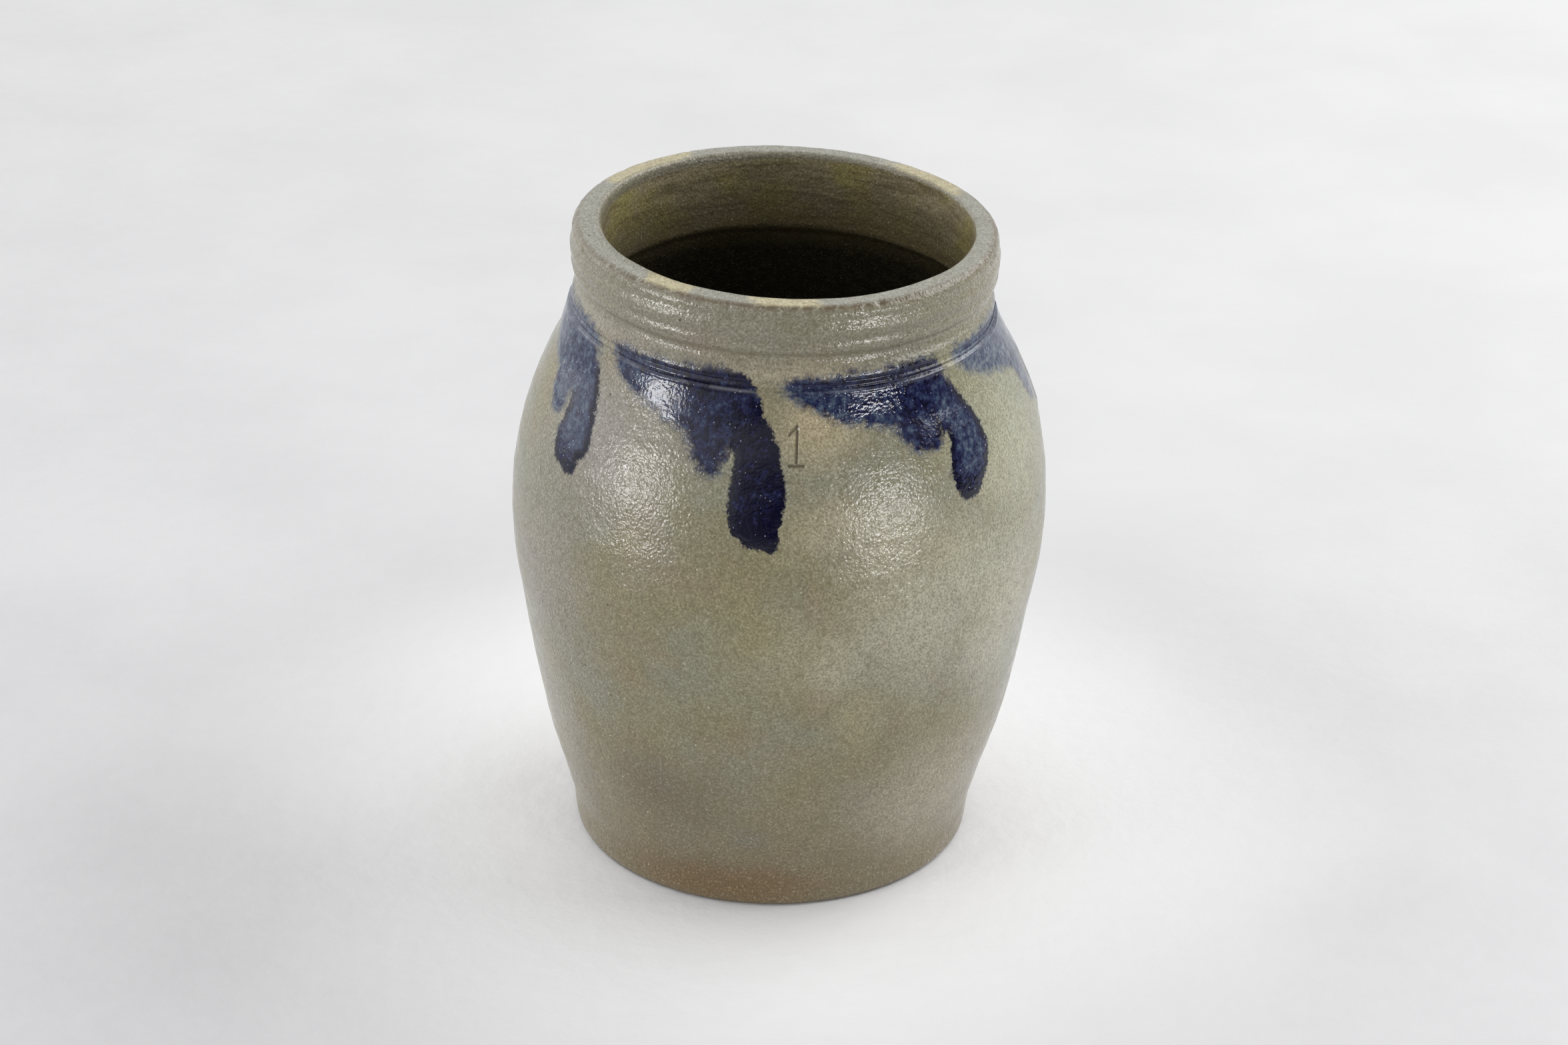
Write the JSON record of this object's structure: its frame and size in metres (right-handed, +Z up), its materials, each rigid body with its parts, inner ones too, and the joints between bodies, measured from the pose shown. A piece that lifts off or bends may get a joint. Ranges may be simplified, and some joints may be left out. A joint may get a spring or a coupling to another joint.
{
  "type": "stoneware storage jar",
  "caption": "Open ovoid stoneware jar with a collared rim, banded neck, flat foot and brushed slip swags hanging from a line on the shoulder.",
  "frame": {"origin": "centre of the flat foot, on the surface that the jar stands on", "axes": "+Z up along the jar's axis, -Y towards the front, +X to the right as seen from the front"},
  "size_m": [0.1874, 0.1874, 0.23],
  "materials": {
    "salt_glazed_stoneware": "satin, orange-peel salt glaze",
    "cobalt_slip": "glossy, under the same salt glaze"
  },
  "bodies": {
    "root": {"stoneware_jar": "salt_glazed_stoneware", "cobalt_swag_front_left": "cobalt_slip", "cobalt_swag_front_right": "cobalt_slip", "cobalt_swag_right": "cobalt_slip", "cobalt_swag_back_right": "cobalt_slip", "cobalt_swag_back": "cobalt_slip", "cobalt_swag_back_left": "cobalt_slip", "cobalt_swag_left": "cobalt_slip"}
  },
  "joints": []
}
